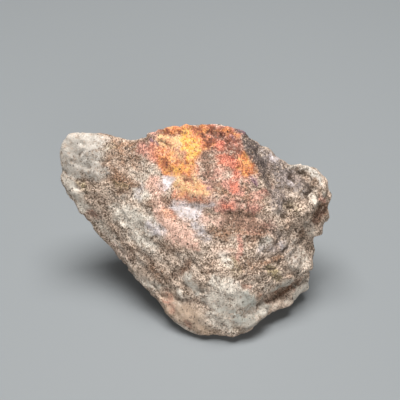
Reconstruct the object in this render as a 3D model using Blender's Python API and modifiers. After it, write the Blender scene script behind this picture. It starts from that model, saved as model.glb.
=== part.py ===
"""Rough tugtupite: one natural, unpolished stone that rests on a flat broken face.

Frame: metres, +Z up. The origin is the middle of the stone's bounding box, at the level of the surface
that it rests on. The broad front face looks towards -Y, the pale nose is at -X and the lumpy knob at +X.

The stone is blocked out as overlapping convex lumps, each the hull of its named corners. The lumps are
fused and worn into one skin, then grooves, hollows, ledges and lumps are worked into that skin along its
normals, and the underside is sawn level by a cutter.
"""

from collections import namedtuple

import bmesh
import bpy
import numpy as np
from mathutils import Vector, noise

MM = 0.001

# Driving dimensions. All sizes below are in millimetres unless a name says otherwise.
STONE_WIDTH = 73.0
STONE_DEPTH = 49.0
STONE_HEIGHT = 47.2
SOLE_DROP = 1.2
SKIN_CELL = 1.0
WEAR_PASSES = 7
WEAR_STRENGTH = 0.5
MOST_TRIANGLES = 9200

STONE_COLOUR = (0.36, 0.31, 0.25, 1.0)
STONE_ROUGHNESS = 0.82

# Corners of each lump, as x, y, z from the middle of the lower edge. The sole lies SOLE_DROP below that
# edge and is smaller all round, so the edge stands clear of the surface.
BODY = {
    "crest end": (-13.5, 9.0, 44.1),
    "crest left": (-7.0, 9.5, 46.0),
    "crest middle": (2.0, 10.0, 45.3),
    "crest right": (11.5, 8.5, 45.0),
    "crest back": (3.0, 18.0, 39.5),
    "shoulder right": (18.3, 9.0, 40.1),
    "neck right": (25.5, 5.5, 35.2),
    "brow left": (-12.0, -3.5, 33.0),
    "brow middle": (2.0, -6.5, 35.0),
    "brow right": (21.0, -6.0, 29.5),
    "belly left": (-12.0, -10.5, 18.0),
    "belly front": (8.0, -20.5, 16.0),
    "belly right": (25.0, -12.5, 15.0),
    "flank high": (-29.9, 0.8, 17.8),
    "flank left": (-23.0, -3.0, 12.0),
    "flank right": (33.2, -4.0, 12.5),
    "foot right": (31.3, -8.3, 2.4),
    "foot edge": (20.6, -16.6, 1.8),
    "foot tip": (10.0, -24.3, 0.2),
    "foot front": (1.0, -23.5, 0.2),
    "foot cheek": (-4.1, -19.7, 0.3),
    "foot corner": (-7.4, -13.4, 0.3),
    "foot left": (-11.9, -8.0, 0.3),
    "back right": (27.0, 17.0, 22.0),
    "back middle": (4.0, 24.5, 20.0),
    "back left": (-16.0, 20.0, 24.0),
    "heel right": (23.0, 14.0, 0.2),
    "heel middle": (2.0, 19.0, 0.2),
    "heel left": (-11.0, 10.0, 0.2),
    "sole right": (24.5, -4.5, -2.1),
    "sole edge": (17.0, -12.5, -2.1),
    "sole tip": (9.0, -20.0, -2.1),
    "sole front": (1.0, -19.5, -2.1),
    "sole left": (-8.5, -6.5, -2.1),
    "sole heel left": (-7.5, 7.5, -2.1),
    "sole heel middle": (2.0, 14.5, -2.1),
    "sole heel right": (18.5, 10.5, -2.1),
}
NOSE = {
    "tip top": (-34.2, 9.5, 43.9),
    "tip front": (-36.8, 7.5, 39.0),
    "tip low": (-36.0, 4.3, 27.8),
    "bridge": (-24.0, 10.5, 41.8),
    "bridge back": (-26.0, 17.0, 38.0),
    "tip back": (-34.0, 15.0, 35.0),
    "cheek": (-25.0, 1.5, 32.5),
    "chin": (-31.5, 1.2, 20.0),
    "chin back": (-28.0, 14.0, 23.0),
    "root top": (-9.5, 10.0, 41.0),
    "root front": (-8.0, -4.0, 30.0),
    "root low": (-12.0, -4.0, 12.0),
    "root back": (-10.0, 18.0, 28.0),
}
KNOB = {
    "top left": (26.0, 6.0, 36.5),
    "top": (31.5, 4.5, 37.4),
    "top right": (34.8, 2.5, 34.1),
    "side": (36.5, 0.5, 28.0),
    "side low": (36.5, -0.5, 22.5),
    "under": (33.5, -2.5, 16.5),
    "face": (29.5, -5.5, 28.0),
    "back": (32.0, 11.0, 29.0),
    "back low": (30.0, 11.0, 17.0),
    "root front": (20.0, -5.0, 24.0),
    "root back": (18.0, 10.0, 26.0),
}
LUMPS = {"body": BODY, "nose": NOSE, "knob": KNOB}

# A mark is worked in along a line from start to end: a height above 0 raises a ridge or a boss, below 0
# sinks a groove or a hollow. It fades over its radius.
Mark = namedtuple("Mark", "start end radius height")
MARKS = {
    "saddle by the nose": Mark((-17.5, 14.0, 40.3), (-16.5, 5.5, 35.8), 3.5, -0.6),
    "valley down from the saddle": Mark((-16.0, 5.5, 35.5), (-17.5, 0.0, 31.0), 4.0, -0.7),
    "boss of the front face": Mark((-1.0, 2.5, 42.5), (5.0, -3.5, 38.0), 6.0, 0.8),
    "edge right of the crest": Mark((11.5, 8.0, 44.5), (17.0, -1.0, 35.0), 2.4, 1.2),
    "slope right of the crest": Mark((18.0, 7.0, 40.5), (21.5, 1.0, 34.0), 3.4, -1.2),
    "ledge under the brow, left": Mark((-2.5, -7.0, 33.0), (6.0, -9.8, 32.2), 1.3, -0.8),
    "ledge under the brow, right": Mark((6.0, -9.8, 32.2), (15.0, -8.2, 30.4), 1.4, -0.6),
    "lip of the brow": Mark((-1.5, -6.0, 35.5), (12.5, -6.8, 34.0), 2.4, 0.4),
    "notch in the left flank": Mark((-1.5, -14.5, 19.0), (-7.0, -15.5, 12.0), 1.6, -0.8),
    "rib above the left flank": Mark((-26.0, 0.0, 22.5), (-10.0, -12.5, 15.0), 2.5, 0.4),
    "step beside the foot": Mark((-9.5, -15.5, 9.5), (-5.0, -17.5, 8.5), 1.6, -1.1),
    "hollow beside the foot": Mark((-14.0, -8.5, 4.0), (-11.5, -12.0, 2.5), 3.0, -1.5),
    "bulge of the foot": Mark((-6.0, -19.5, 4.0), (0.0, -21.5, 6.0), 3.6, 0.8),
    "groove above the foot strip": Mark((17.5, -18.0, 7.6), (30.8, -8.4, 8.0), 1.5, -1.7),
    "foot strip": Mark((17.0, -19.5, 4.6), (29.5, -10.5, 5.2), 2.0, 0.4),
    "gap beside the knob, high": Mark((26.5, 4.5, 35.0), (28.3, -1.5, 31.0), 1.5, -1.3),
    "gap beside the knob, low": Mark((28.3, -1.5, 31.0), (30.5, -5.0, 22.0), 1.5, -1.5),
    "lump in the gap": Mark((30.0, -3.0, 30.5), (31.0, -3.5, 29.5), 1.5, 1.0),
    "hollow in the knob": Mark((33.0, -2.5, 25.0), (34.5, -1.5, 26.5), 2.2, -2.6),
    "step under the knob": Mark((31.5, -5.0, 15.0), (28.0, -9.0, 15.5), 2.0, -1.3),
    "boss under the knob": Mark((31.0, -7.0, 12.0), (28.0, -10.0, 12.0), 3.0, 0.7),
    "scar on the back": Mark((10.0, 22.0, 30.0), (22.0, 17.0, 16.0), 5.0, -1.8),
    "rib on the back": Mark((-12.0, 20.0, 34.0), (2.0, 23.0, 14.0), 3.5, 1.4),
}

# Broken relief: wide swells, packed lumps that are coarser towards +X, and stepped ledges across them.
SWELL_SPACING = 11.0
SWELL_HEIGHT = 0.9
LUMP_SPACING = 4.2
LUMP_HEIGHT = 1.0
LUMP_RIM = 0.5
LUMP_LEVEL = 0.6
FINE_LUMP_SHARE = 0.35
COARSE_FROM_X = 8.0
COARSE_TO_X = 24.0
LEDGE_SPACING = 3.6
LEDGE_HEIGHT = 0.45
LEDGE_NORMAL = Vector((0.48, -0.30, 0.82)).normalized()
LEDGE_BEND_SHIFT = Vector((7.0, 3.0, 5.0))

SAW_MARGIN = 20.0


def start_empty_scene():
    for obj in list(bpy.data.objects):
        bpy.data.objects.remove(obj)


def new_collection(name):
    collection = bpy.data.collections.new(name)
    bpy.context.scene.collection.children.link(collection)
    return collection


def add_hull(mesh, corners):
    """Adds the convex hull of the corners to the mesh as a closed lump."""
    points = [mesh.verts.new(Vector(corner) * MM) for corner in corners]
    hull = bmesh.ops.convex_hull(mesh, input=points)
    inside = [item for item in hull["geom_interior"] if isinstance(item, bmesh.types.BMVert)]
    bmesh.ops.delete(mesh, geom=inside, context="VERTS")


def block_out(name, collection):
    """The overlapping lumps as one object, fused and worn by its modifiers."""
    lumps = bmesh.new()
    for corners in LUMPS.values():
        add_hull(lumps, corners.values())
    bmesh.ops.recalc_face_normals(lumps, faces=lumps.faces)
    blank = bpy.data.meshes.new(name)
    lumps.to_mesh(blank)
    lumps.free()
    stone = bpy.data.objects.new(name, blank)
    collection.objects.link(stone)
    fuse = stone.modifiers.new("fuse the lumps", "REMESH")
    fuse.mode = "VOXEL"
    fuse.voxel_size = SKIN_CELL * MM
    wear = stone.modifiers.new("wear the edges", "SMOOTH")
    wear.factor = WEAR_STRENGTH
    wear.iterations = WEAR_PASSES
    return stone


def apply_modifiers(stone):
    """Turns what the modifiers make into the object's own mesh."""
    graph = bpy.context.evaluated_depsgraph_get()
    made = bpy.data.meshes.new_from_object(stone.evaluated_get(graph))
    stone.modifiers.clear()
    stone.data = made


def smooth_step(low, high, value):
    share = min(max((value - low) / (high - low), 0.0), 1.0)
    return share * share * (3.0 - 2.0 * share)


def mark_height(mark, points):
    """How far a mark moves each point, in millimetres."""
    start, end = np.array(mark.start), np.array(mark.end)
    line = end - start
    along = np.clip((points - start) @ line / (line @ line), 0.0, 1.0)
    away = np.linalg.norm(points - start - along[:, None] * line, axis=1)
    return mark.height * np.exp(-((away / mark.radius) ** 2))


def broken_height(point):
    """Height of the broken relief at a point, in millimetres."""
    swell = noise.noise(point / SWELL_SPACING) * SWELL_HEIGHT
    nearest, second = noise.voronoi(point / LUMP_SPACING)[0][:2]
    lump = (min(second - nearest, LUMP_RIM) / LUMP_RIM - LUMP_LEVEL) * LUMP_HEIGHT
    coarse = smooth_step(COARSE_FROM_X, COARSE_TO_X, point.x)
    share = FINE_LUMP_SHARE + (1.0 - FINE_LUMP_SHARE) * coarse
    bend = noise.noise(point / SWELL_SPACING + LEDGE_BEND_SHIFT)
    level = point.dot(LEDGE_NORMAL) / LEDGE_SPACING + bend
    ledge = (level % 1.0 - 0.5) * LEDGE_HEIGHT
    return swell + lump * share + ledge


def work_the_skin(stone):
    """Moves every point of the skin along its normal by the marks and the broken relief."""
    mesh = stone.data
    count = len(mesh.vertices)
    points, normals = np.empty(count * 3), np.empty(count * 3)
    mesh.vertices.foreach_get("co", points)
    mesh.vertices.foreach_get("normal", normals)
    points = points.reshape(-1, 3) / MM
    normals = normals.reshape(-1, 3)
    height = sum(mark_height(mark, points) for mark in MARKS.values())
    height += np.array([broken_height(Vector(point)) for point in points])
    points += normals * height[:, None]
    mesh.vertices.foreach_set("co", (points * MM).ravel())
    mesh.update()


def fit_to_size(stone):
    """Scales the skin to the driving dimensions and sets the middle of its box over the origin.

    The sole comes to z = 0 and the rest of the underside stays above it, apart from the sole's own
    roughness, which the saw takes off.
    """
    mesh = stone.data
    points = np.array([vertex.co for vertex in mesh.vertices]) / MM
    low, high = points.min(axis=0), points.max(axis=0)
    middle = (low + high) / 2.0
    middle[2] = -SOLE_DROP
    scale = np.array(
        [
            STONE_WIDTH / (high[0] - low[0]),
            STONE_DEPTH / (high[1] - low[1]),
            STONE_HEIGHT / (high[2] + SOLE_DROP),
        ]
    )
    points = (points - middle) * scale
    mesh.vertices.foreach_set("co", (points * MM).ravel())
    mesh.update()


def thin_the_mesh(stone):
    """Leaves small triangles only where the relief needs them."""
    thin = stone.modifiers.new("thin the mesh", "DECIMATE")
    thin.use_collapse_triangulate = True
    thin.ratio = MOST_TRIANGLES / (2.0 * len(stone.data.polygons))


def saw_level(stone, collection):
    """Cuts the underside flat at z = 0, so that the stone rests on it."""
    bpy.ops.mesh.primitive_cube_add(size=1.0)
    saw = bpy.context.object
    saw.name = "saw"
    saw.dimensions = (
        (STONE_WIDTH + SAW_MARGIN) * MM,
        (STONE_DEPTH + SAW_MARGIN) * MM,
        SAW_MARGIN * MM,
    )
    saw.location.z = -SAW_MARGIN / 2.0 * MM
    saw.hide_render = True
    saw.display_type = "WIRE"
    for home in list(saw.users_collection):
        home.objects.unlink(saw)
    collection.objects.link(saw)
    cut = stone.modifiers.new("rest level", "BOOLEAN")
    cut.operation = "DIFFERENCE"
    cut.object = saw


def stone_material():
    material = bpy.data.materials.new("rough stone")
    material.use_nodes = True
    shader = material.node_tree.nodes["Principled BSDF"]
    shader.inputs["Base Color"].default_value = STONE_COLOUR
    shader.inputs["Roughness"].default_value = STONE_ROUGHNESS
    shader.inputs["Metallic"].default_value = 0.0
    return material


def main():
    start_empty_scene()
    home = new_collection("rough tugtupite")
    cutters = new_collection("cutters")
    stone = block_out("stone", home)
    apply_modifiers(stone)
    work_the_skin(stone)
    fit_to_size(stone)
    thin_the_mesh(stone)
    saw_level(stone, cutters)
    stone.data.materials.append(stone_material())


main()
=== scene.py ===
"""Rough tugtupite, dressed: the broken, grainy skin of one natural stone, and the floor, light and camera
that show it.

The skin is wrapped over the stone's plain solid and carries the fine relief that the solid leaves out:
chips, lumps, grains, pits, creases and the ribbed left flank. Which mineral, or which painted shade, shows
where is worked out for each point of the skin from named patches, and the material then breaks those
patches up grain by grain.
Lengths inside the functions are in millimetres, in the stone's own frame.
"""

import math
from collections import namedtuple

import bpy
import numpy as np
from bpy.props import FloatProperty, FloatVectorProperty, IntProperty, PointerProperty
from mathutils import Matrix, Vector, noise
from mathutils.bvhtree import BVHTree


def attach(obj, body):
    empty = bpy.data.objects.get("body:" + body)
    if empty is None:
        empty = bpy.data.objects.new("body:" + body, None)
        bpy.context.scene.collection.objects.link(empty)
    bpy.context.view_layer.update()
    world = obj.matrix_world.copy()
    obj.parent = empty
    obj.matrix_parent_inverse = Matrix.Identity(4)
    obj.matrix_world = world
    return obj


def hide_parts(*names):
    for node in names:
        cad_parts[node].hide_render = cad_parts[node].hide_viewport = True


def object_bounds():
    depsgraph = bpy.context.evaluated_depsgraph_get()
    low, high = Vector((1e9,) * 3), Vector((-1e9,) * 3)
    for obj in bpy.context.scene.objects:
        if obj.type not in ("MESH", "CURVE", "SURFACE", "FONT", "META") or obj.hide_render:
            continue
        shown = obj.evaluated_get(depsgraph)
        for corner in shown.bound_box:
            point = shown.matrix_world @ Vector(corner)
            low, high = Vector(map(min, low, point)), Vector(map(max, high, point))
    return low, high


bl_info = {
    "name": "Rough Tugtupite",
    "version": (1, 0, 0),
    "blender": (4, 5, 0),
    "location": "3D View > Sidebar > Rough Stone",
    "description": "Gives a rough tugtupite its grainy broken skin, its glowing patches and a stage",
    "category": "Add Mesh",
}

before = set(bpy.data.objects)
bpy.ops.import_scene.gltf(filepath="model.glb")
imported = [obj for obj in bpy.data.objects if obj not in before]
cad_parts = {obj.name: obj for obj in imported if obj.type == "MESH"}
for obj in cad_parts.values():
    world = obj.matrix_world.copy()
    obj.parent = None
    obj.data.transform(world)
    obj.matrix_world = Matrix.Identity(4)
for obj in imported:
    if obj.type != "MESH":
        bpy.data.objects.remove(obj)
CAD_BOX = [list(corner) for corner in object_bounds()]

MM = 0.001

# The noise that moves points about starts from this number, so that it is the same each time.
NOISE_SEED = 1

# The view that the marks below are read in, which is the camera's view too. It looks at a point a little
# above the middle of the stone.
IMAGE_WIDTH = 400
SENSOR_WIDTH = 36.0
LENS = 70.0
DISTANCE = 0.208
ELEVATION = math.radians(40.0)
AIM = Vector((0.0011, 0.0003, 0.0054))
MIDDLE = (Vector(CAD_BOX[0]) + Vector(CAD_BOX[1])) / 2.0 + AIM
EYE = MIDDLE + DISTANCE * Vector((0.0, -math.cos(ELEVATION), math.sin(ELEVATION)))
LENS_PIXELS = LENS / SENSOR_WIDTH * IMAGE_WIDTH
PIXEL = DISTANCE / LENS_PIXELS / MM

# Each mark in the tables below gives two pixels of that view, for the ends of a line on the stone, and a
# radius in pixels around the line. A patch's fourth value is its share of the grains, all of them if it is
# left out, and a crease's fourth value is its height in millimetres, below 0 to sink.
Patch = namedtuple("Patch", "start end radius share", defaults=[1.0])
Crease = namedtuple("Crease", "start end radius height")

PATCHES = {
    "umber": {
        "gap in the glow": ((206, 156), (210, 172), 7),
        "gap in the glow, lower": ((207, 176), (212, 184), 5, 0.8),
        "right of the gap": ((214, 150), (217, 158), 3.5, 0.5),
        "edge of the brow": ((226, 216), (250, 218), 5, 0.8),
        "brow": ((226, 222), (258, 226), 7, 0.7),
        "below the lower band": ((166, 198), (170, 202), 4, 0.8),
        "step under the heart": ((204, 212), (216, 217), 3.5, 0.7),
        # Painted shade in the knob's hollow.
        "hollow of the knob": ((315, 221), (323, 209), 4.5, 0.9),
        "notch": ((190, 262), (175, 276), 3, 0.4),
        # Painted shade in the crevice.
        "crevice": ((266, 301), (304, 281), 2.6, 0.7),
        "left of the crest": ((138, 144), (150, 136), 4, 0.6),
    },
    # Painted shade that darkens the upper faces, and some others, with a dull brownish grey.
    "upper_shade": {
        "flank": ((140, 262), (164, 286), 7, 0.35),
        "middle, low": ((158, 250), (186, 262), 8, 0.15),
        "back of the nose": ((98, 150), (124, 158), 14),
        "middle of the nose": ((104, 172), (126, 182), 11, 0.8),
        "valley": ((130, 152), (138, 176), 9, 0.8),
        "edge by the saddle": ((110, 142), (138, 148), 7, 0.7),
        "gap in the glow": ((206, 158), (214, 186), 9, 0.7),
        "brow": ((224, 214), (262, 222), 12, 0.7),
        "slope": ((262, 152), (290, 182), 14, 0.7),
        "right of the slope": ((290, 172), (306, 192), 11, 0.9),
        "foot of the slope": ((272, 192), (288, 204), 10, 0.7),
        "face of the knob": ((312, 180), (321, 198), 9, 0.9),
        "right": ((262, 222), (290, 236), 11, 0.35),
        "right edge": ((284, 256), (300, 272), 8, 0.5),
        "middle": ((176, 236), (204, 246), 9, 0.3),
        "right of the glow": ((256, 186), (264, 206), 7, 0.6),
        "right pink": ((244, 194), (260, 204), 8, 0.7),
        "crest": ((146, 138), (162, 132), 5, 0.6),
    },
    # Painted shade: a darker copy of the white, on the caps of the nose and the knob, which face the light.
    "shaded_white": {
        "cap of the nose": ((70, 150), (90, 141), 17),
        "cheek of the nose": ((68, 168), (90, 162), 11),
        "band across the nose": ((84, 172), (106, 172), 7, 0.8),
        "cap of the knob": ((303, 166), (317, 174), 5.5),
        "cap of the knob, left": ((294, 165), (304, 166), 4, 0.8),
        "cap of the knob, right": ((316, 170), (320, 182), 4, 0.6),
        "left of the knob": ((290, 196), (302, 194), 6, 0.25),
    },
    "white": {
        "upper flank": ((92, 214), (124, 256), 7, 0.5),
        "middle of the flank": ((128, 264), (142, 284), 6, 0.4),
        "lower front, wide": ((206, 318), (236, 330), 9, 0.4),
        "edge under the nose": ((68, 184), (84, 208), 7, 0.9),
        "patch by the valley": ((134, 174), (140, 182), 6, 0.35),
        "upper face": ((136, 196), (146, 192), 7, 0.8),
        "wide patch of the face": ((122, 214), (152, 226), 13, 0.9),
        "pale yellow patch": ((134, 236), (150, 246), 9, 0.9),
        "left of the glow": ((143, 174), (150, 168), 6, 0.45),
        "lower face": ((200, 254), (192, 270), 10, 0.2),
        "spot below the drip": ((223, 254), (226, 264), 5, 0.8),
        "front patch": ((216, 284), (236, 290), 9),
        "front": ((210, 296), (232, 298), 12, 0.6),
        "lower front": ((212, 318), (226, 326), 8, 0.9),
        "right edge": ((298, 254), (306, 262), 8, 0.6),
        "right edge, lower": ((290, 260), (302, 270), 7, 0.4),
        "lump by the knob": ((311, 197), (317, 205), 3.5, 0.9),
        "above the hollow": ((308, 222), (311, 236), 5, 0.6),
        "grain by the foot": ((180, 293), (181, 295), 4.5),
        "edge of the foot": ((179, 325), (196, 333), 3.5, 0.8),
        "end of the foot strip": ((298, 291), (308, 284), 7),
        "inside the strip": ((286, 300), (300, 293), 4, 0.6),
        "lower edge of the strip": ((270, 314), (302, 296), 4, 0.35),
    },
    "lilac": {
        "above the heart": ((165, 183), (173, 176), 6.5),
        "heart of the face": ((180, 208), (195, 213), 9),
        "below the heart": ((196, 222), (204, 236), 7, 0.6),
        "right of the heart": ((202, 206), (212, 204), 4, 0.7),
        "upper bluish patch": ((142, 186), (138, 196), 5, 0.6),
        "beside the pink": ((150, 227), (158, 232), 6, 0.7),
        "right of the crest": ((272, 158), (278, 160), 4, 0.6),
        "on the slope": ((290, 180), (291, 184), 3, 0.7),
        "low on the right": ((262, 252), (284, 246), 6, 0.45),
    },
    "green": {
        "front": ((236, 296), (250, 303), 9.5),
        "middle of the front": ((214, 300), (232, 312), 12, 0.6),
        "glassy tip": ((234, 320), (252, 322), 7, 0.9),
        "end of the foot strip": ((296, 296), (307, 286), 7, 0.8),
        "lower edge of the strip": ((258, 324), (300, 300), 6, 0.8),
        "right of the face": ((262, 246), (266, 240), 6, 0.5),
        "edge of the knob": ((323, 188), (325, 194), 3.5, 0.5),
        "glassy grain": ((188, 276), (196, 290), 6, 0.6),
    },
    "grey": {
        "glassy grain": ((188, 276), (196, 290), 6, 0.8),
        "end of the green": ((246, 312), (258, 316), 6, 0.8),
        "lower edge of the strip": ((246, 328), (298, 300), 7, 0.9),
        "low flank": ((146, 280), (156, 288), 8, 0.5),
    },
    "tan": {
        "foot": ((170, 304), (196, 320), 14, 0.8),
        "foot, right": ((196, 316), (206, 328), 10, 0.8),
    },
    "brown": {
        "gap in the glow, lower": ((205, 178), (214, 187), 7, 0.6),
        "between the pinks": ((220, 186), (232, 198), 9, 0.8),
        "below the right glow": ((243, 188), (248, 199), 7, 0.8),
        "dark patch of the nose": ((116, 168), (124, 184), 10),
        "round the dark patch": ((110, 168), (126, 188), 12, 0.8),
        "back of the nose": ((108, 148), (126, 158), 9, 0.5),
        "cheek": ((82, 184), (100, 187), 6, 0.3),
        "low on the nose": ((88, 198), (128, 198), 8, 0.3),
        "upper nose": ((104, 142), (130, 150), 10, 0.75),
        "root of the nose": ((130, 152), (138, 166), 7, 0.7),
        "left of the crest": ((140, 142), (148, 138), 4, 0.8),
        "below the brow": ((224, 217), (258, 220), 9),
        "below the brow, lower": ((215, 230), (262, 232), 10, 0.85),
        "left rib": ((112, 226), (134, 246), 7, 0.4),
        "left rib, lower": ((134, 250), (162, 278), 9, 0.55),
        "flank": ((120, 238), (158, 282), 10, 0.3),
        "in the lower left": ((150, 202), (167, 200), 5, 0.9),
        "notch": ((190, 262), (173, 277), 4),
        "middle of the front": ((158, 244), (180, 250), 7, 0.45),
        # Painted shade in the crevice.
        "crevice": ((262, 303), (308, 279), 3.6, 0.9),
        "strip": ((270, 300), (286, 296), 4, 0.5),
        # Painted shade in the knob's hollow.
        "hollow of the knob": ((315, 222), (324, 208), 7),
        "face of the knob": ((314, 182), (320, 190), 6, 0.5),
        "right of the ledge": ((236, 262), (262, 268), 8, 0.5),
        "pits of the right": ((262, 262), (280, 256), 4, 0.8),
        "right gaps": ((300, 240), (304, 232), 5, 0.7),
        "under the ledge": ((206, 272), (222, 276), 5, 0.5),
        "step above the foot": ((156, 292), (204, 302), 4, 0.5),
        "left of the crevice": ((252, 308), (266, 309), 5, 0.6),
        "wedge by the crevice": ((260, 296), (244, 316), 5, 0.8),
        "side of the tip": ((242, 328), (262, 315), 6, 0.7),
        "saddle": ((100, 136), (116, 139), 5, 0.6),
    },
    "olive": {
        "stain of the right": ((270, 268), (278, 279), 5),
        "cheek": ((80, 182), (84, 188), 5, 0.6),
        "nose": ((104, 146), (112, 144), 5, 0.5),
        "by the knob": ((288, 206), (298, 212), 6, 0.4),
        "front": ((230, 262), (236, 270), 7, 0.5),
        "saddle": ((118, 186), (126, 188), 5, 0.5),
        "glassy tip": ((228, 326), (240, 330), 5, 0.5),
    },
    "rust": {
        "spot in the crevice": ((289, 288), (293, 289), 3, 0.8),
        "under the nose": ((88, 212), (96, 216), 5, 0.8),
        "foot": ((168, 302), (172, 308), 5, 0.7),
        "lower foot": ((186, 322), (190, 326), 4, 0.6),
        "below the brow": ((238, 222), (252, 216), 6, 0.5),
        "in the front": ((246, 286), (250, 288), 4, 0.6),
        "above the crevice": ((262, 292), (264, 294), 3, 0.4),
        "step above the foot": ((166, 292), (172, 300), 4, 0.5),
        "low flank": ((160, 296), (166, 302), 4, 0.5),
    },
    # A grey mineral, laid thicker over the upper right slope as painted shade.
    "violet": {
        "slope": ((268, 162), (288, 178), 13),
        "lower slope": ((272, 190), (282, 202), 12, 0.9),
        "top of the slope": ((262, 150), (274, 158), 7, 0.7),
        "right of the slope": ((288, 176), (304, 190), 10, 0.8),
        "low on the right": ((264, 228), (296, 258), 12, 0.5),
    },
    # Painted shade on the slope beside the crest, which turns away from the light.
    "dark": {
        "end of the crest": ((241, 130), (256, 146), 4.5),
        "beside the crest": ((248, 138), (254, 152), 7),
        "slope beside the crest": ((251, 146), (262, 166), 9),
        "right of the glow": ((260, 168), (266, 182), 6, 0.7),
    },
    "purple": {
        "left": ((150, 140), (151, 141), 2.2, 0.9),
        "left, darker": ((156, 141), (157, 143), 2.2, 0.9),
        "right": ((253, 179), (255, 181), 2.6, 0.8),
        "end of the crest": ((240, 129), (246, 134), 2.5, 0.9),
        "on the crest": ((233, 136), (235, 138), 2.5, 0.6),
        "gap in the glow": ((206, 182), (208, 186), 4, 0.5),
    },
    "pink": {
        "left, lower": ((150, 184), (158, 189), 7, 0.7),
        "below left": ((154, 194), (162, 206), 7, 0.4),
        "lower left": ((162, 214), (174, 234), 10),
        "lower left, right part": ((176, 218), (190, 236), 9, 0.6),
        "blob": ((184, 243), (192, 245), 6, 0.8),
        "under the heart": ((202, 220), (222, 222), 5, 0.6),
        "right crest": ((214, 135), (234, 141), 5, 0.4),
        "right, inner": ((252, 195), (258, 194), 4, 0.25),
        "lower middle": ((214, 248), (232, 254), 6, 0.3),
        "middle": ((205, 196), (214, 204), 6, 0.4),
    },
    "rose": {
        "crest, far left": ((154, 135), (168, 129), 4.5, 0.6),
        "over the crest": ((172, 129), (234, 131), 11, 0.8),
        "left of the band": ((156, 146), (172, 150), 7, 0.6),
        "left": ((142, 148), (156, 156), 7, 0.9),
        "left, lower": ((152, 180), (162, 186), 6, 0.6),
        "lower right": ((221, 205), (231, 207), 7.5),
        "lower right, wide": ((240, 205), (257, 208), 7, 0.6),
        "right": ((252, 195), (262, 193), 6, 0.6),
        "right, lower": ((248, 228), (268, 226), 9, 0.35),
        "drip": ((238, 240), (240, 256), 4, 0.6),
        "round the glow": ((212, 178), (222, 168), 7, 0.6),
        "tail of the right patch": ((228, 183), (238, 190), 6),
        "middle": ((205, 190), (216, 206), 8, 0.4),
        "knob": ((322, 196), (324, 202), 4, 0.45),
        "right crest": ((222, 146), (206, 146), 8, 0.7),
        "right patch": ((228, 160), (248, 176), 9, 0.7),
        "low flank": ((112, 246), (130, 260), 6, 0.25),
        "low left": ((168, 222), (172, 232), 5, 0.5),
    },
    "peach": {
        "left of the band": ((158, 150), (176, 156), 10, 0.9),
        "middle": ((180, 152), (196, 156), 9, 0.9),
        "lower right": ((190, 184), (204, 188), 8, 0.9),
        "lower middle": ((178, 196), (204, 198), 7, 0.7),
        "left foot of the band": ((170, 168), (192, 170), 8, 0.8),
        "right patch": ((224, 160), (250, 170), 9, 0.6),
        "right crest": ((206, 144), (226, 146), 5, 0.3),
        "lower left": ((164, 214), (174, 216), 5, 0.7),
    },
    "cream": {
        "pale band": ((161, 139), (180, 142), 5.5),
        "low spot": ((181, 180), (185, 188), 6.5),
        "left foot of the band": ((172, 152), (180, 158), 6, 0.5),
        "above the white spot": ((176, 170), (182, 174), 5, 0.8),
        "low band": ((190, 176), (196, 182), 5, 0.6),
        "lower middle": ((178, 184), (204, 190), 6, 0.8),
    },
    "red": {
        "crest": ((200, 127), (236, 131), 7, 0.5),
        "right crest": ((222, 134), (240, 146), 6, 0.45),
        "right crest, low": ((208, 140), (222, 146), 6, 0.8),
        "right patch": ((224, 158), (236, 166), 6, 0.9),
        "right patch, upper": ((240, 154), (246, 158), 5, 0.9),
        "tail of the right patch": ((236, 174), (234, 188), 5, 0.6),
        "small spot": ((207, 170), (210, 177), 3.5, 0.8),
        "left spot": ((162, 162), (168, 170), 5, 0.8),
        "lower right": ((224, 206), (230, 206), 4, 0.5),
        "crest, left": ((150, 148), (158, 158), 5, 0.4),
    },
    "ember": {
        "crest": ((192, 127), (226, 128), 3.5, 0.8),
        "crest edge": ((184, 125), (240, 130), 2, 0.8),
        "crest pits": ((212, 131), (221, 137), 4),
        "crest pits, right": ((222, 139), (228, 143), 3.4),
        "crest pits, left": ((203, 133), (207, 139), 3.2),
        "left crest": ((162, 132), (170, 133), 3.2, 0.9),
        "left crest, right part": ((174, 133), (183, 132), 3.5, 0.7),
        "band top": ((196, 132), (200, 133), 3, 0.7),
        "right crest": ((210, 143), (214, 140), 3.4, 0.8),
        "mauve patch of the crest": ((232, 148), (238, 149), 5, 0.8),
        "left spot": ((163, 162), (168, 168), 4, 0.6),
        "edge of the crest": ((226, 150), (232, 154), 5, 0.5),
        "lower specks": ((186, 178), (190, 179), 3, 0.6),
        "right crest, end": ((230, 130), (236, 136), 4, 0.5),
        "right crest, low": ((228, 138), (236, 140), 3, 0.8),
        "right crest, inner": ((206, 146), (214, 150), 2.6, 0.8),
    },
    "orange": {
        "crest, left": ((166, 129), (184, 129), 6, 0.9),
        "crest, middle": ((190, 127), (203, 128), 7, 0.9),
        "crest, right": ((208, 128), (236, 133), 5, 0.6),
        "band, under": ((190, 158), (188, 170), 6, 0.7),
        "right of the band": ((196, 136), (205, 144), 8),
        "left spot": ((163, 160), (168, 170), 6, 0.9),
        "foot of the band": ((174, 164), (184, 168), 6, 0.8),
        "right patch": ((243, 158), (251, 168), 6),
        "right patch, low": ((240, 168), (246, 174), 5, 0.7),
        "lower middle": ((182, 190), (186, 196), 5, 0.3),
        "right of the lower band": ((194, 184), (202, 186), 5, 0.3),
        "left": ((160, 150), (170, 152), 6, 0.5),
    },
    "yellow": {
        "band, upper": ((186, 133), (189, 142), 5.5),
        "band, middle": ((186, 142), (190, 154), 5.5),
        "band, right": ((194, 146), (196, 152), 5, 0.7),
        "band, lower": ((192, 158), (190, 166), 5, 0.5),
        "foot of the band": ((170, 170), (178, 167), 4.5, 0.55),
        "right patch": ((247, 157), (250, 162), 3.5, 0.35),
    },
}

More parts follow.
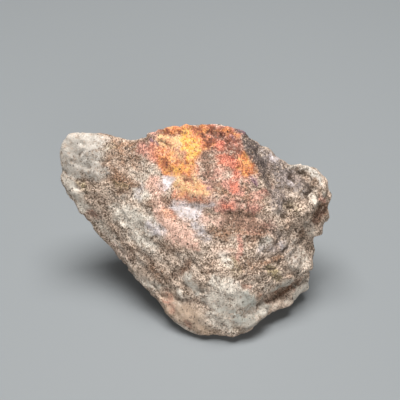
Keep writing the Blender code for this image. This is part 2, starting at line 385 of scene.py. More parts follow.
SMOOTH_PATCHES = {
    "cap of the nose": ((70, 150), (88, 141), 16),
    "cheek of the nose": ((70, 168), (94, 170), 9),
    "side of the nose": ((72, 184), (80, 198), 6),
    "foot": ((172, 304), (196, 322), 13),
    "glassy tip": ((234, 320), (252, 320), 7),
    "front": ((240, 298), (254, 308), 9),
    "glassy grain": ((188, 277), (195, 288), 6),
    "strip": ((250, 326), (296, 304), 9),
    "strip, inner": ((276, 306), (304, 292), 7),
    "end of the foot strip": ((299, 290), (307, 284), 5),
    "grain by the foot": ((180, 293), (181, 295), 4),
    "mauve patch of the crest": ((233, 147), (238, 150), 4),
    "above the heart": ((166, 182), (172, 177), 5),
    "heart of the face": ((180, 211), (190, 212), 5),
    "low flank": ((138, 272), (156, 286), 6),
    "front left": ((208, 300), (228, 312), 8),
}

COARSE_PATCHES = {
    "by the knob": ((288, 196), (304, 214), 14),
    "knob": ((300, 176), (318, 200), 12),
    "under the knob": ((284, 226), (308, 238), 10),
    "crest": ((160, 129), (240, 132), 7),
    "end of the crest": ((240, 132), (262, 152), 7),
    "right": ((262, 250), (304, 258), 14),
    "right, lower": ((256, 274), (300, 274), 11),
    "front right": ((238, 268), (262, 286), 10),
}

CREASES = {
    "upper pit of the nose": ((80, 143), (84, 145), 2.2, -0.36),
    "lower pit of the nose": ((80, 155), (83, 151), 2, -0.48),
    "crack of the nose": ((71, 161), (78, 164), 1.8, -0.3),
    "crack across the nose": ((94, 160), (110, 162), 1.8, -0.24),
    "pit at the nose's edge": ((63, 171), (66, 174), 2.2, -0.42),
    "pit of the cheek": ((88, 168), (89, 169), 1.6, -0.36),
    "edge of the cheek": ((80, 181), (90, 184), 2, -0.36),
    "edge of the cheek, lower": ((76, 188), (88, 188), 2, -0.3),
    "notch in the flank": ((191, 261), (172, 277), 3, -0.2),
    "edge between the tip and the strip": ((246, 325), (260, 314), 6, 1.1),
    "edge below the strip": ((263, 312), (290, 301), 5, 1.2),
    "step above the foot, left": ((142, 290), (160, 297), 2.2, -0.8),
    "step above the foot": ((160, 297), (178, 299), 2.2, -0.5),
    "step beside the foot": ((178, 300), (204, 304), 2.2, -0.3),
    "grain by the foot": ((180, 293), (181, 295), 3.8, 0.8),
    "line under the brow": ((197, 209), (214, 214), 2, -0.36),
    "line under the heart": ((186, 205), (194, 208), 1.6, -0.3),
    "edge of the brow": ((220, 213), (258, 217), 2.4, -0.42),
    "ledge of the middle": ((196, 238), (225, 245), 2, -0.3),
    "first pit by the knob": ((291, 166), (293, 168), 2.4, -0.9),
    "second pit by the knob": ((290, 178), (294, 181), 2.4, -1),
    "crack round the lump, left": ((283, 201), (289, 208), 2, -0.48),
    "crack round the lump, low": ((289, 208), (300, 206), 2, -0.54),
    "crack round the lump, right": ((300, 206), (306, 196), 2, -0.48),
    "crack beside the knob": ((303, 182), (309, 192), 2.2, -0.54),
    "crack above the lump": ((302, 174), (309, 178), 2, -0.42),
    "pit below the lump": ((280, 214), (284, 217), 2.6, -0.9),
    "pit under the knob": ((307, 215), (309, 216), 2, -0.9),
    "pit under the knob, lower": ((306, 225), (308, 227), 2.2, -0.9),
    "hollow of the knob, upper": ((318, 208), (325, 212), 3.5, -1),
    "hollow of the knob, lower": ((313, 222), (317, 226), 3, -1),
    "gap of the right edge": ((300, 246), (306, 238), 3, -0.54),
    "gap of the right edge, lower": ((286, 248), (298, 243), 2.6, -0.42),
    "crevice, left": ((258, 306), (276, 297), 2.6, -0.72),
    "crevice, middle": ((276, 297), (290, 287), 2.8, -0.96),
    "crevice, right": ((290, 287), (308, 279), 2.6, -0.8),
    "crack above the crevice": ((238, 281), (252, 276), 2.2, -0.42),
    "crack of the right": ((258, 270), (276, 269), 2, -0.48),
    "crack of the right, upper": ((268, 260), (290, 248), 2.2, -0.48),
    "crack at the right edge": ((302, 262), (310, 260), 2, -0.42),
    "pits of the right edge": ((296, 275), (306, 277), 2.2, -0.42),
    "cleft left of the crevice": ((264, 312), (276, 300), 2.2, -0.42),
    "crest pit, left": ((205, 135), (207, 138), 2.4, -0.48),
    "knob of the crest, left": ((186, 126), (188, 128), 3, 0.5),
    "knob of the crest": ((204, 127), (207, 128), 3, 0.5),
    "knob of the crest, right": ((226, 128), (228, 130), 3, 0.5),
    "knob of the left crest": ((170, 128), (172, 130), 2.6, 0.4),
    "dip of the crest": ((196, 126), (197, 129), 2.2, -0.4),
    "dip of the crest, right": ((215, 127), (217, 129), 2.4, -0.45),
    "crest pit": ((214, 131), (220, 135), 2.6, -0.6),
    "crest pit, right": ((222, 139), (226, 142), 2.4, -0.48),
    "crest pit, low": ((240, 142), (246, 144), 2.2, -0.42),
    "left crest pit": ((164, 132), (169, 134), 2.4, -0.36),
    "valley beside the crest": ((246, 140), (256, 170), 3.4, -0.42),
    "edge of the glow": ((246, 150), (254, 160), 3, 0.5),
    "groove to the notch": ((152, 270), (172, 290), 2, -0.15),
    "groove of the flank": ((112, 222), (136, 246), 2.4, -0.15),
    "groove of the flank, lower": ((136, 250), (162, 280), 2.2, -0.18),
    "long groove of the flank": ((96, 226), (150, 276), 1.8, -0.12),
    "first lump of the right": ((292, 198), (300, 200), 5, 0.6),
    "second lump of the right": ((300, 184), (303, 188), 4, 0.5),
    "third lump of the right": ((310, 198), (315, 202), 3.6, 0.7),
    "fourth lump of the right": ((300, 254), (306, 258), 5.5, 0.7),
    "fifth lump of the right": ((288, 264), (294, 268), 5, 0.6),
    "sixth lump of the right": ((308, 230), (311, 234), 4, 0.6),
}
RIBBED_FLANK = {"left flank": ((103, 224), (168, 292), 24)}

# The patches that glow under ultraviolet light, from the faintest to the brightest, and those of them that
# have yellow or red blobs.
GLOWS = ("pink", "rose", "peach", "cream", "red", "orange", "yellow")
YELLOW_GLOWS = ("orange", "yellow")
RED_GLOWS = ("peach", "red", "orange", "cream")

# The order in which the minerals and the painted shades lie over each other, and the dark ones that lie over
# the glow.
LAYERS = (
    *("upper_shade", "violet", "brown", "olive", "tan", "green", "grey", "shaded_white", "white", "rust"),
    *("rose", "pink", "lilac", "peach", "cream", "red", "orange", "yellow"),
)
DARK_LAYERS = ("umber", "ember", "dark", "purple")

# What each mineral, stain, painted shade and glowing patch is called, where it shows, and its light and dark
# grains.
GRAINS = {
    "matrix": ("Matrix", "most of the stone", (0.850, 0.665, 0.525), (0.120, 0.073, 0.042)),
    # Painted shade on the upper faces, laid as a layer like the minerals.
    "upper_shade": ("Upper shade", "the dull upper faces", (0.430, 0.335, 0.255), (0.070, 0.044, 0.027)),
    # A darker copy of the white: painted shade for the caps that face the light.
    "shaded_white": ("Shaded white", "the caps of the nose and the knob", (0.670, 0.610, 0.540), (0.260, 0.220, 0.175)),
    "white": ("White", "the pale mineral", (0.920, 0.830, 0.710), (0.460, 0.390, 0.320)),
    "lilac": ("Lilac", "the bluish white", (0.760, 0.680, 0.670), (0.450, 0.380, 0.370)),
    "green": ("Green", "the pale green mineral", (0.590, 0.575, 0.510), (0.220, 0.220, 0.180)),
    "grey": ("Grey", "the glassy grey", (0.580, 0.530, 0.455), (0.230, 0.200, 0.160)),
    "tan": ("Tan", "the smooth foot", (0.620, 0.455, 0.330), (0.330, 0.225, 0.145)),
    "brown": ("Brown", "the earthy stain", (0.430, 0.250, 0.155), (0.085, 0.040, 0.019)),
    "olive": ("Olive", "the yellowish stain", (0.560, 0.440, 0.260), (0.100, 0.070, 0.030)),
    "rust": ("Rust", "the reddish stain", (0.580, 0.300, 0.210), (0.130, 0.050, 0.030)),
    # A grey mineral, also painted shade on the upper right slope.
    "violet": ("Violet grey", "the grey slope", (0.350, 0.285, 0.255), (0.070, 0.052, 0.044)),
    # Painted shade for the slope beside the crest.
    "dark": ("Dark grey", "the darkest slope", (0.140, 0.102, 0.090), (0.030, 0.021, 0.018)),
    "pink": ("Pink glow", "the palest pink glow", (0.760, 0.500, 0.395), (0.360, 0.205, 0.150)),
    "rose": ("Rose glow", "the deeper pink glow", (0.600, 0.300, 0.225), (0.160, 0.068, 0.050)),
    "peach": ("Peach glow", "the soft glow", (0.680, 0.390, 0.260), (0.220, 0.095, 0.055)),
    "cream": ("Cream glow", "the palest glow", (0.670, 0.470, 0.240), (0.440, 0.240, 0.110)),
    "red": ("Red glow", "the deepest glow", (0.660, 0.210, 0.135), (0.220, 0.045, 0.026)),
    "spark": ("Spark", "the yellow blobs in the glow", (0.700, 0.450, 0.160), (0.560, 0.270, 0.070)),
    "blush": ("Blush", "the red blobs in the glow", (0.660, 0.290, 0.190), (0.330, 0.090, 0.050)),
    "orange": ("Orange glow", "most of the glow", (0.660, 0.250, 0.085), (0.300, 0.075, 0.024)),
    "yellow": ("Yellow glow", "the brightest glow", (0.650, 0.420, 0.090), (0.420, 0.150, 0.030)),
    "umber": ("Umber", "the gaps in the glow", (0.360, 0.215, 0.150), (0.080, 0.042, 0.026)),
    "ember": ("Ember", "the dark pits of the crest", (0.280, 0.090, 0.048), (0.040, 0.009, 0.004)),
    "purple": ("Purple", "the edge of the glow", (0.360, 0.205, 0.240), (0.100, 0.048, 0.072)),
}

# Wide clouds of some minerals on the back, which has none of the glow: their spacing, the noise at which they
# start and are full, and their share.
BACK_CLOUDS = {
    "white": (9.0, 0.05, 0.45, 0.75),
    "brown": (7.0, 0.05, 0.50, 0.80),
    "green": (8.0, 0.20, 0.50, 0.60),
    "grey": (6.0, 0.10, 0.50, 0.60),
    "tan": (10.0, 0.15, 0.50, 0.60),
    "pink": (5.0, 0.42, 0.60, 0.30),
}
BACK_LEAN = 0.22

# A patch starts this many radii from its line, and is whole this near to it. The ribbed flank has its own.
PATCH_EDGE, PATCH_CORE = 1.7, 0.1
FLANK_EDGE, FLANK_CORE = 1.3, 0.6
RIB_STRETCH = 0.88

# How much of its relief a smooth patch loses.
SMOOTH_CHIPS, SMOOTH_LUMPS, SMOOTH_GRAINS, SMOOTH_PITS, SMOOTH_COARSE = 0.8, 0.7, 0.85, 0.75, 0.8

# The lowest part of the stone stays as flat as its sole, and the relief is whole above it.
SOLE_HEIGHT, RELIEF_HEIGHT = 0.05, 0.9

PIT_PASSES, HOLLOW_PASSES = 8, 60

# The material: widths of its grains in millimetres, how many of them are specks, the random number from which
# a grain shines, the strength of the glow, and the height of the bump in metres.
FINE_GRAIN, MIDDLE_GRAIN, BLOB = 0.27, 0.44, 1.3
FINE_SPECKS, MIDDLE_SPECKS = 0.14, 0.025
SHINY_FROM = 0.92
GLOW_STRENGTH = 0.35
BUMP_HEIGHT = 0.00025


def length(name, description, value):
    """A property that is a length."""
    return FloatProperty(name=name, description=description, default=value, unit="LENGTH")


def colour(name, description, value):
    """A property that is a colour."""
    return FloatVectorProperty(
        name=name, description=description, default=value, subtype="COLOR", size=3, min=0.0, max=1.0
    )


def grain_colours():
    """The colours of each mineral's light and dark grains, as properties."""
    for name, (title, where, light, dark) in GRAINS.items():
        yield name, colour(title, f"Light grains of {where}", light)
        yield f"{name}_dark", colour(f"{title}, dark", f"Dark grains of {where}", dark)


class StoneSizes(bpy.types.PropertyGroup):
    """Sizes of the skin and of its relief."""

    cell: length("Skin cell", "Width of the skin's faces", 0.000375)
    wear: IntProperty(name="Wear", description="Passes that round off the solid's facets", default=12)
    chip_spacing: length("Chip width", "Width of the broken chips", 0.0034)
    chip_height: length("Chip height", "How far the chips tilt", 0.00026)
    lump_spacing: length("Lump width", "Width of the lumps on the coarse side", 0.0022)
    lump_height: length("Lump height", "Height of the coarse side's lumps", 0.00046)
    grain_spacing: length("Grain width", "Width of the grains that stand proud", 0.0010)
    grain_height: length("Grain height", "Height of the grains", 0.00011)
    pit_depth: length("Pit depth", "Depth of the scattered pits", 0.00022)
    rib_height: length("Rib height", "Height of the ribs on the left flank", 0.00016)


class StoneColours(bpy.types.PropertyGroup):
    """Colours of the specks and the painted cavity shade, and of the light and the dark grains of each
    mineral and of each painted shade.
    """

    speck: colour("Specks", "The small near-black specks", (0.050, 0.031, 0.020))
    # Cavity shade is painted shade, laid in the skin's pits and hollows.
    cavity_shade: colour("Cavity shade", "What lies in pits and creases", (0.075, 0.050, 0.033))


StoneColours.__annotations__.update(grain_colours())


class StageSettings(bpy.types.PropertyGroup):
    """The floor and the lights."""

    floor: colour("Floor", "Plain pale floor", (0.200, 0.212, 0.217))
    sky_strength: FloatProperty(name="Sky", description="Light from all round", default=0.08)
    key_power: FloatProperty(name="Key light", description="From above", default=9.9, unit="POWER")
    key_width: length("Key width", "Left to right", 0.5)
    key_depth: length("Key depth", "Front to back", 0.34)
    key_place: FloatVectorProperty(
        name="Key place",
        description="Where the upper light hangs",
        default=(-0.015, 0.07, 0.72),
        unit="LENGTH",
    )
    fill_power: FloatProperty(name="Fill light", description="From the front", default=1.7, unit="POWER")
    fill_size: length("Fill size", "Width and height", 0.3)
    fill_place: FloatVectorProperty(
        name="Fill place",
        description="Where the front light stands",
        default=(0.12, -0.6, 0.26),
        unit="LENGTH",
    )


def ease(low, high, values):
    """Rises smoothly from 0 at low to 1 at high. High may be the smaller one."""
    share = np.clip((values - low) / (high - low), 0.0, 1.0)
    return share * share * (3.0 - 2.0 * share)


def on_stone(kind, marks):
    """The marks as patches or creases, with their ends on the stone's solid. All is in millimetres."""
    solid = BVHTree.FromObject(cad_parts["stone"], bpy.context.evaluated_depsgraph_get())
    look = Vector((0.0, math.cos(ELEVATION), -math.sin(ELEVATION)))
    up = Vector((0.0, math.sin(ELEVATION), math.cos(ELEVATION)))

    def place(pixel):
        across, down = ((number - IMAGE_WIDTH / 2.0) / LENS_PIXELS for number in pixel)
        ray = (look + across * Vector((1.0, 0.0, 0.0)) - down * up).normalized()
        found = solid.ray_cast(EYE, ray)[0] or solid.find_nearest(EYE + DISTANCE * ray)[0]
        return found / MM

    return [
        kind(place(start), place(end), radius * PIXEL, *rest) for start, end, radius, *rest in marks.values()
    ]


def reach(points, line):
    """Distance from each point to the line, in radii."""
    start, run = np.array(line.start), np.array(line.end) - np.array(line.start)
    along = np.clip((points - start) @ run / (run @ run), 0.0, 1.0)
    return np.linalg.norm(points - start - along[:, None] * run, axis=1) / line.radius


def cover(points, patches):
    """How much the patches cover each point, from 0 to 1, with soft edges."""
    shares = [
        patch.share * ease(PATCH_EDGE, PATCH_CORE, reach(points, patch)) for patch in on_stone(Patch, patches)
    ]
    return np.max(shares, axis=0)


def noise_over(points, spacing, shift=0.0):
    """Smooth noise at each point, from about -1 to 1."""
    return np.array([noise.noise(Vector(point)) for point in points / spacing + shift])


def wander(points, spacing, distance, shift=0.0):
    """The points moved about by smooth noise, which makes edges drawn from them ragged."""
    moves = [noise.noise_vector(Vector(point)) for point in points / spacing + shift]
    return points + distance * np.array(moves)


def cells_over(points, spacing, shift=0.0):
    """Distances to the two nearest cell centres, the place in the cell, and the cell's centre."""
    places = points / spacing + shift
    found = [noise.voronoi(Vector(place)) for place in places]
    near = np.array([distances[:2] for distances, _ in found])
    centres = np.array([nearest[0] for _, nearest in found])
    return near[:, 0], near[:, 1], places - centres, centres


def scatter(centres):
    """A direction for each cell that looks random and is the same each time."""
    mixer = np.array([(127.1, 269.5, 419.2), (311.7, 183.3, 371.9), (74.7, 246.1, 168.3)])
    return np.sin(centres.round(3) @ mixer)


def point_values(mesh, name):
    """A vector at each point of the mesh, such as its place, as rows of numbers."""
    found = np.empty(len(mesh.vertices) * 3, np.float32)
    mesh.vertices.foreach_get(name, found)
    return found.reshape(-1, 3).astype(float)


def keep_value(mesh, name, values):
    """Keeps a number at each point of the mesh, for the material to read."""
    attribute = mesh.attributes.new(name, "FLOAT", "POINT")
    attribute.data.foreach_set("value", values.astype(np.float32))


def bare_skin(sizes):
    """An even, fine mesh wrapped over the stone's solid, with its facets worn smooth."""
    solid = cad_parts["stone"]
    skin = bpy.data.objects.new("rough_stone_skin", solid.data.copy())
    bpy.context.scene.collection.objects.link(skin)
    wrap = skin.modifiers.new("wrap", "REMESH")
    wrap.mode = "VOXEL"
    wrap.voxel_size = sizes.cell * 1.0
    wear = skin.modifiers.new("wear", "SMOOTH")
    wear.factor = 0.5
    wear.iterations = sizes.wear
    graph = bpy.context.evaluated_depsgraph_get()
    skin.data = bpy.data.meshes.new_from_object(skin.evaluated_get(graph))
    skin.modifiers.clear()
    skin.data.materials.clear()
    return skin


def flatten_map(skin):
    """Lays the skin out flat while it is still smooth, so that the map has a few large islands."""
    skin.data.uv_layers.new(name="OFBake")
    bpy.context.view_layer.objects.active = skin
    skin.select_set(True)
    bpy.ops.object.mode_set(mode="EDIT")
    bpy.ops.mesh.select_all(action="SELECT")
    bpy.ops.uv.smart_project(angle_limit=math.radians(66.0), island_margin=0.004, scale_to_bounds=True)
    bpy.ops.object.mode_set(mode="OBJECT")


def rib_noise(points):
    """Noise drawn out along the left flank, and how much of the flank each point is on."""
    flank = on_stone(Patch, RIBBED_FLANK)[0]
    along = np.array((flank.end - flank.start).normalized())
    squeezed = points - RIB_STRETCH * (points @ along)[:, None] * along
    return noise_over(squeezed, 1.1, 21.0), ease(FLANK_EDGE, FLANK_CORE, reach(points, flank))


def relief(points, smooth, coarse, sizes):
    """Height of the fine relief at each point: its chips, lumps, grains, pits, ribs and creases, in turn."""
    chip, lump, grain = sizes.chip_spacing / MM, sizes.lump_spacing / MM, sizes.grain_spacing / MM
    _, _, inside, centres = cells_over(wander(points, 2.6, 0.5), chip)
    tilt = (inside * scatter(centres)).sum(axis=1)
    height = tilt * sizes.chip_height / MM * (1.0 - SMOOTH_CHIPS * smooth)

    near, second, _, _ = cells_over(wander(points, 1.3, 0.35, shift=9.0), lump, shift=3.0)
    gaps = 1.0 - ease(0.0, 0.22, second - near)
    lumps = (0.45 - near) * (0.12 + 0.88 * coarse) - 0.55 * gaps * coarse
    height += lumps * sizes.lump_height / MM * (1.0 - SMOOTH_LUMPS * smooth)

    near, _, _, _ = cells_over(points, grain, shift=11.0)
    grains = (0.45 - near) * sizes.grain_height / MM
    height += grains * (1.0 - SMOOTH_GRAINS * smooth) * (0.8 + 0.6 * coarse)

    pits = ease(0.28, 0.55, noise_over(points, 1.9, shift=5.0))
    height -= pits * sizes.pit_depth / MM * (1.0 - SMOOTH_PITS * smooth)

    ribs, flank = rib_noise(points)
    height += ribs * sizes.rib_height / MM * flank

    ragged = wander(points, 1.6, 0.45, shift=31.0)
    for crease in on_stone(Crease, CREASES):
        height += crease.height * np.exp(-(reach(ragged, crease) ** 2))
    return height


def depth_below(mesh, points, normals, passes):
    """How far each point lies below its surroundings. More passes look further round."""
    ends = np.empty(len(mesh.edges) * 2, np.int32)
    mesh.edges.foreach_get("vertices", ends)
    first, second = ends.reshape(-1, 2).T
    total = len(points)
    count = np.bincount(ends, minlength=total)
    level = points
    for _ in range(passes):
        sums = [
            np.bincount(first, level[second, axis], total) + np.bincount(second, level[first, axis], total)
            for axis in range(3)
        ]
        level = np.stack(sums, axis=1) / count[:, None]
    return ((level - points) * normals).sum(axis=1)


def far_back(points):
    """How far behind the stone's middle each point lies, in a plane that leans with the back."""
    return points[:, 1] - BACK_LEAN * points[:, 2]


def break_surface(skin, sizes):
    """Works the fine relief into the skin. The sole stays flat."""
    mesh = skin.data
    points, normals = point_values(mesh, "co") / MM, point_values(mesh, "normal")
    bent = wander(points, 3.0, 1.0)
    smooth = cover(bent, SMOOTH_PATCHES)
    coarse_back = ease(3.0, 12.0, far_back(points)) * ease(0.0, 0.5, noise_over(points, 12.0, shift=50.0))
    coarse = np.maximum(cover(bent, COARSE_PATCHES), coarse_back) * (1.0 - SMOOTH_COARSE * smooth)
    height = relief(points, smooth, coarse, sizes) * ease(SOLE_HEIGHT, RELIEF_HEIGHT, points[:, 2])
    points += normals * height[:, None]
    points[:, 2] = points[:, 2].clip(0.0)
    mesh.vertices.foreach_set("co", (points * MM).ravel())
    mesh.update()
    normals = point_values(mesh, "normal")
    # How far each point lies below its surroundings, which the material turns into painted shade.
    keep_value(mesh, "pits", depth_below(mesh, points, normals, PIT_PASSES))
    keep_value(mesh, "hollows", depth_below(mesh, points, normals, HOLLOW_PASSES))
    keep_value(mesh, "smooth", smooth)


def spread_minerals(skin):
    """Keeps, for each point of the skin, how much of each mineral shows there."""
    mesh = skin.data
    points, normals = point_values(mesh, "co") / MM, point_values(mesh, "normal")
    ragged = wander(wander(points, 4.5, 0.9), 1.6, 0.8, shift=13.0)
    share = {mineral: cover(ragged, patches) for mineral, patches in PATCHES.items()}
    back = ease(0.5, 9.0, far_back(points)) * ease(-0.3, 0.3, normals[:, 1])
    for number, (mineral, (spacing, low, high, most)) in enumerate(BACK_CLOUDS.items()):
        clouds = ease(low, high, noise_over(ragged, spacing, shift=40.0 + 17.0 * number)) * most
        share[mineral] = np.maximum(share[mineral], clouds * back)

    # All over the stone, clouds of brown take turns with clouds of white.
    clouds = noise_over(points, 4.0, shift=77.0)
    share["brown"] = np.maximum(share["brown"], 0.40 * ease(0.0, 0.6, clouds))
    share["white"] = np.maximum(share["white"], 0.35 * ease(0.0, -0.6, clouds))

    # Dark specks are thickest in the brown, and thin in the pale and the glowing patches.
    glow = np.max([share[name] for name in (*GLOWS, "lilac")], axis=0)
    pale = np.max([share["white"], share["shaded_white"], 0.8 * share["tan"], 0.6 * share["green"]], axis=0)
    quiet = np.maximum(pale, 1.2 * glow)
    share["pepper"] = (0.40 + 0.5 * share["brown"] - 0.30 * quiet).clip(0.0, 1.0)

    ribs, flank = rib_noise(points)
    share["streaks"] = ease(0.05, 0.5, -ribs) * flank
    for mineral, values in share.items():
        keep_value(mesh, mineral, values)


class Wire:
    """A socket of a material's node tree. Python's operators on it add Math nodes."""

    def __init__(self, tree, socket=None):
        self.tree = tree
        self.socket = socket

    def node(self, kind, settings, inputs, output=0):
        """Adds a node: its settings first, then its sockets' values or links. Gives one of its outputs."""
        made = self.tree.nodes.new(kind)
        for name, value in settings.items():
            setattr(made, name, value)
        for name, value in inputs.items():
            if isinstance(value, Wire):
                self.tree.links.new(value.socket, made.inputs[name])
            else:
                made.inputs[name].default_value = value
        return Wire(self.tree, made.outputs[output])

    def maths(self, operation, first, second, clamp=False):
        settings = {"operation": operation, "use_clamp": clamp}
        return self.node("ShaderNodeMath", settings, {0: first, 1: second})

    def __add__(self, other):
        return self.maths("ADD", self, other)

    __radd__ = __add__

    def __sub__(self, other):
        return self.maths("SUBTRACT", self, other)

    def __rsub__(self, other):
        return self.maths("SUBTRACT", other, self)

    def __mul__(self, other):
        return self.maths("MULTIPLY", self, other)

    __rmul__ = __mul__

    def __lt__(self, other):
        return self.maths("LESS_THAN", self, other)

    def __gt__(self, other):
        return self.maths("GREATER_THAN", self, other)

    def clamp(self):
        return self.maths("ADD", self, 0.0, clamp=True)

    def most(self, other):
        return self.maths("MAXIMUM", self, other)

    def ease(self, low, high):
        """Rises smoothly from 0 at low to 1 at high."""
        settings = {"interpolation_type": "SMOOTHSTEP"}
        return self.node("ShaderNodeMapRange", settings, {"Value": self, "From Min": low, "From Max": high})

    def mix(self, first, second):
        """Mixes two numbers, with this wire as the share of the second."""
        return first + (second - first) * self

    def blend(self, first, second):
        """Mixes two colours, with this wire as the share of the second."""
        settings = {"data_type": "RGBA"}
        return self.node("ShaderNodeMix", settings, {0: self, 6: first, 7: second}, output=2)

    def parts(self):
        """The three numbers of a colour."""
        red = self.node("ShaderNodeSeparateColor", {}, {"Color": self})
        return [Wire(self.tree, socket) for socket in red.socket.node.outputs]


def stone_material(colours):
    """The stone's finish: minerals and painted shades that take over from each other grain by grain, specks,
    painted shade in pits and hollows, and glow.
    """
    material = bpy.data.materials.new("rough tugtupite")
    material.use_nodes = True
    tree = material.node_tree
    tree.nodes.clear()
    start = Wire(tree)

    def value(name):
        """What the skin keeps at each of its points under this name."""
        return start.node("ShaderNodeAttribute", {"attribute_name": name}, {}, "Fac")

    def tint(name):
        return (*getattr(colours, name), 1.0)

    def noise_at(spacing, detail, roughness=0.5):
        inputs = {"Vector": place, "Scale": 1.0 / spacing, "Detail": detail, "Roughness": roughness}
        return start.node("ShaderNodeTexNoise", {}, inputs)

    def cells_at(spacing):
        """Distance from the cell's centre, and three random numbers of the cell."""
        distance = start.node("ShaderNodeTexVoronoi", {}, {"Vector": grit, "Scale": 1.0 / spacing})
        random = Wire(tree, distance.socket.node.outputs["Color"])
        return distance, random.parts()

    metres = start.node("ShaderNodeTexCoord", {}, {}, "Object")
    place = start.node("ShaderNodeVectorMath", {"operation": "SCALE"}, {0: metres, "Scale": 1.0 / MM})
    sway = start.node("ShaderNodeTexNoise", {}, {"Vector": place, "Scale": 1.7, "Detail": 2.0}, "Color")
    grit = start.node(
        "ShaderNodeVectorMath", {"operation": "MULTIPLY_ADD"}, {0: sway, 1: (0.7, 0.7, 0.7), 2: place}
    )

    fine, (fine_a, fine_b, fine_c) = cells_at(FINE_GRAIN)
    _, (middle_a, middle_b, middle_c) = cells_at(MIDDLE_GRAIN)
    _, (blob_a, blob_b, blob_c) = cells_at(BLOB)
    cloud = noise_at(2.4, detail=3.0).ease(0.3, 0.7)
    wisp = noise_at(1.2, detail=3.0, roughness=0.6).ease(0.3, 0.7)
    dust = noise_at(0.4, detail=2.0, roughness=0.6)
    smooth = value("smooth")

    # How light each grain is, which varies less in a smooth patch.
    grain = (fine_b * 0.64 + middle_b * 0.16 + blob_b * 0.04 + wisp * 0.16).ease(0.18, 0.82)
    quiet = cloud * 0.24 + wisp * 0.26 + fine_b * 0.34 + middle_b * 0.08 + 0.11
    grain = smooth.mix(grain, quiet)

    # Where one mineral gives way to the next, and the layers of them from the lowest to the highest.
    chance = (wisp * 0.38 + blob_a * 0.12 + middle_a * 0.20 + fine_a * 0.30 - 0.5) * 2.2

    def shows(name):
        """How much of the grain this mineral takes. A glowing patch takes more than its share."""
        hold = 1.35 if name in GLOWS else 1.0
        return (value(name) * (hold + chance)).ease(0.0, 1.0)

    def blobs(middle, blob, low, high):
        """Some of the middle grains, most of them in the same blobs."""
        return (middle * 0.6 + blob * 0.4).ease(low, high) * 0.7

    def lay(name, share, light, dark):
        """The light and the dark colour, with this much of the mineral laid over them."""
        return share.blend(light, tint(name)), share.blend(dark, tint(name + "_dark"))

    light, dark = tint("matrix"), tint("matrix_dark")
    glow = redder = yellower = 0.0
    for name in LAYERS:
        share = shows(name)
        light, dark = lay(name, share, light, dark)
        if name in GLOWS:
            glow = share.most(glow)
        if name in RED_GLOWS:
            redder = share.most(redder)
        if name in YELLOW_GLOWS:
            yellower = share.most(yellower)
    light, dark = lay("blush", redder * blobs(middle_c, blob_c, 0.50, 0.75), light, dark)
    light, dark = lay("spark", yellower * blobs(middle_b, blob_b, 0.55, 0.80), light, dark)
    for name in DARK_LAYERS:
        share = shows(name)
        light, dark = lay(name, share, light, dark)
        glow = glow * (1.0 - share)
    base = grain.blend(dark, light)

    pepper = value("pepper")
    speck = (fine_c < pepper * FINE_SPECKS).most(middle_c < pepper * MIDDLE_SPECKS) * 0.85
    base = speck.blend(base, tint("speck"))
    base = (value("streaks") * 0.25).blend(base, tint("brown_dark"))

    # Painted shade: the skin is darkened where it lies below its surroundings, in small pits and in wider
    # hollows.
    pits = (value("pits") + (dust - 0.5) * 0.08).ease(0.05, 0.30) * 0.6
    hollows = value("hollows").ease(0.2, 1.2) * 0.5
    cavity_shade = pits.most(hollows)
    base = cavity_shade.blend(base, tint("cavity_shade"))

    shine = (fine_a > SHINY_FROM) * (1.0 - smooth * 0.5)
    rough = 0.88 - 0.30 * smooth * (1.0 - speck) - 0.40 * shine
    glimmer = (glow * (1.0 - speck) * (1.0 - cavity_shade)).clamp().blend((0.0, 0.0, 0.0, 1.0), base)

    relief_height = (0.5 - fine) * 0.4 + dust * 0.6 + fine_b * 0.4
    bump = start.node(
        "ShaderNodeBump", {}, {"Strength": 0.9, "Distance": BUMP_HEIGHT, "Height": relief_height}
    )
    shader = start.node(
        "ShaderNodeBsdfPrincipled",
        {},
        {
            "Base Color": base,
            "Roughness": rough,
            "Metallic": 0.0,
            "Emission Color": glimmer,
            "Emission Strength": GLOW_STRENGTH,
            "Normal": bump,
        },
    )
    output = tree.nodes.new("ShaderNodeOutputMaterial")
    tree.links.new(shader.socket, output.inputs["Surface"])
    return material


class SPECIMEN_OT_stone(bpy.types.Operator):
    """Makes the stone's skin over its solid and gives it its minerals"""

    bl_idname = "specimen.stone"
    bl_label = "Rough stone"

    def execute(self, context):
        noise.seed_set(NOISE_SEED)
        sizes = context.scene.stone_sizes
        skin = bare_skin(sizes)
        flatten_map(skin)
        break_surface(skin, sizes)
        spread_minerals(skin)
        skin.data.polygons.foreach_set("use_smooth", [True] * len(skin.data.polygons))
        skin.data.materials.append(stone_material(context.scene.stone_colours))
        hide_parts("stone")
        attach(skin, "root")
        return {"FINISHED"}


def plain_material(name, tint, roughness):
    """A material of one colour, for the floor."""
    material = bpy.data.materials.new(name)
    material.use_nodes = True
    shader = material.node_tree.nodes["Principled BSDF"]
    shader.inputs["Base Color"].default_value = (*tint, 1.0)
    shader.inputs["Roughness"].default_value = roughness
    return material


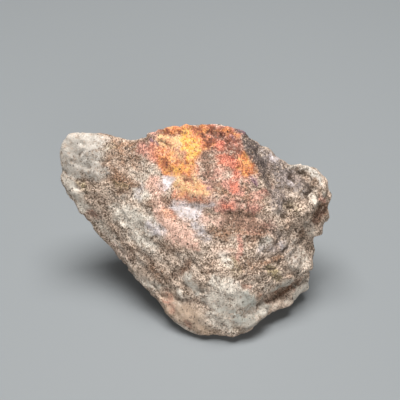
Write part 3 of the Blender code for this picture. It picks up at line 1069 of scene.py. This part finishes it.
class SPECIMEN_OT_stage(bpy.types.Operator):
    """Makes the floor, the soft light and the camera"""

    bl_idname = "specimen.stage"
    bl_label = "Stage"

    def execute(self, context):
        settings = context.scene.stage_settings
        bpy.ops.mesh.primitive_plane_add(size=6.0)
        floor = context.object
        floor.name = "floor"
        floor.data.materials.append(plain_material("plain floor", settings.floor, roughness=0.7))

        world = bpy.data.worlds.new("soft sky")
        world.use_nodes = True
        sky = world.node_tree.nodes["Background"]
        sky.inputs["Color"].default_value = (1.0, 1.0, 1.0, 1.0)
        sky.inputs["Strength"].default_value = settings.sky_strength
        context.scene.world = world

        key_size = settings.key_width, settings.key_depth
        fill_size = settings.fill_size, settings.fill_size
        for name, power, size, place in (
            ("key light", settings.key_power, key_size, settings.key_place),
            ("fill light", settings.fill_power, fill_size, settings.fill_place),
        ):
            lamp = bpy.data.lights.new(name, "AREA")
            lamp.energy = power
            lamp.shape = "RECTANGLE"
            lamp.size, lamp.size_y = size
            light = bpy.data.objects.new(name, lamp)
            light.location = place
            light.rotation_euler = (MIDDLE - light.location).to_track_quat("-Z", "Y").to_euler()
            context.scene.collection.objects.link(light)

        lens = bpy.data.cameras.new("camera")
        lens.lens = LENS
        lens.sensor_width = SENSOR_WIDTH
        lens.clip_start = 0.01
        camera = bpy.data.objects.new("camera", lens)
        camera.location = EYE
        camera.rotation_euler = (math.radians(90.0) - ELEVATION, 0.0, 0.0)
        context.scene.collection.objects.link(camera)
        context.scene.camera = camera
        context.scene.view_settings.view_transform = "Standard"
        return {"FINISHED"}


class SPECIMEN_PT_panel(bpy.types.Panel):
    """Lists what makes the stone and its stage"""

    bl_label = "Rough Stone"
    bl_idname = "SPECIMEN_PT_panel"
    bl_space_type = "VIEW_3D"
    bl_region_type = "UI"
    bl_category = "Rough Stone"

    def draw(self, context):
        scene = context.scene
        for title, settings, operator in (
            ("Stone", scene.stone_sizes, SPECIMEN_OT_stone.bl_idname),
            ("Colours", scene.stone_colours, None),
            ("Stage", scene.stage_settings, SPECIMEN_OT_stage.bl_idname),
        ):
            box = self.layout.box()
            box.label(text=title)
            for name in settings.__annotations__:
                box.prop(settings, name)
            if operator:
                box.operator(operator)


CLASSES = (StoneSizes, StoneColours, StageSettings, SPECIMEN_OT_stone, SPECIMEN_OT_stage, SPECIMEN_PT_panel)


def register():
    for cls in CLASSES:
        bpy.utils.register_class(cls)
    bpy.types.Scene.stone_sizes = PointerProperty(type=StoneSizes)
    bpy.types.Scene.stone_colours = PointerProperty(type=StoneColours)
    bpy.types.Scene.stage_settings = PointerProperty(type=StageSettings)


def unregister():
    del bpy.types.Scene.stage_settings
    del bpy.types.Scene.stone_colours
    del bpy.types.Scene.stone_sizes
    for cls in reversed(CLASSES):
        bpy.utils.unregister_class(cls)


def main():
    register()
    bpy.ops.specimen.stage()
    bpy.ops.specimen.stone()


if __name__ == "__main__":
    main()
